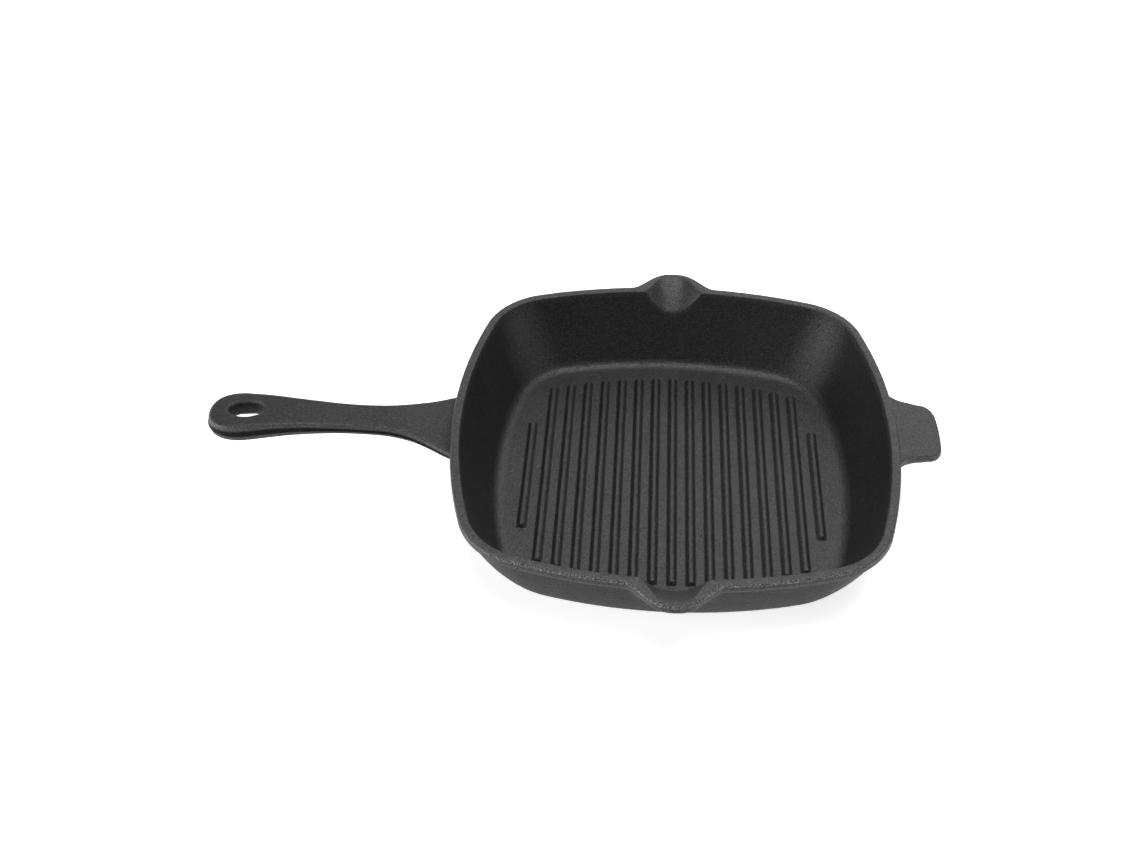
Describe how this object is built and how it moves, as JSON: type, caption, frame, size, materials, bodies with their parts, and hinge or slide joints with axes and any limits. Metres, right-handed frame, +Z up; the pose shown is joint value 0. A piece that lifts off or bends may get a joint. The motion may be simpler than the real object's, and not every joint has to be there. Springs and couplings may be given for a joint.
{
  "type": "square cast iron grill pan",
  "caption": "Square grill pan cast in one piece, with a ribbed floor, sloping walls, front and rear pouring spouts, a long handle with a hanging hole and a short helper handle.",
  "frame": {"origin": "middle of the flat base, on the surface the pan stands on", "axes": "+Z up; -X along the main handle, +X towards the helper handle; -Y is the front, with one spout, and +Y the rear, with the other"},
  "size_m": [0.4328, 0.2908, 0.051],
  "materials": {
    "iron_walls": "as cast, seasoned",
    "iron_spouts": "as cast, seasoned",
    "iron_floor": "as cast, seasoned",
    "iron_ribs": "as cast, seasoned",
    "iron_handles": "as cast, seasoned"
  },
  "bodies": {
    "root": {"wall_right": "iron_walls", "wall_left": "iron_walls", "wall_rear_right": "iron_walls", "wall_rear_left": "iron_walls", "wall_front_left": "iron_walls", "wall_front_right": "iron_walls", "corner_rear_right": "iron_walls", "corner_rear_left": "iron_walls", "corner_front_left": "iron_walls", "corner_front_right": "iron_walls", "spout_rear": "iron_spouts", "spout_front": "iron_spouts", "pan_floor": "iron_floor", "grill_rib_01": "iron_ribs", "grill_rib_02": "iron_ribs", "grill_rib_03": "iron_ribs", "grill_rib_04": "iron_ribs", "grill_rib_05": "iron_ribs", "grill_rib_06": "iron_ribs", "grill_rib_07": "iron_ribs", "grill_rib_08": "iron_ribs", "grill_rib_09": "iron_ribs", "grill_rib_10": "iron_ribs", "grill_rib_11": "iron_ribs", "grill_rib_12": "iron_ribs", "grill_rib_13": "iron_ribs", "grill_rib_14": "iron_ribs", "grill_rib_15": "iron_ribs", "grill_rib_16": "iron_ribs", "grill_rib_17": "iron_ribs", "main_handle": "iron_handles", "helper_handle": "iron_handles"}
  },
  "joints": []
}
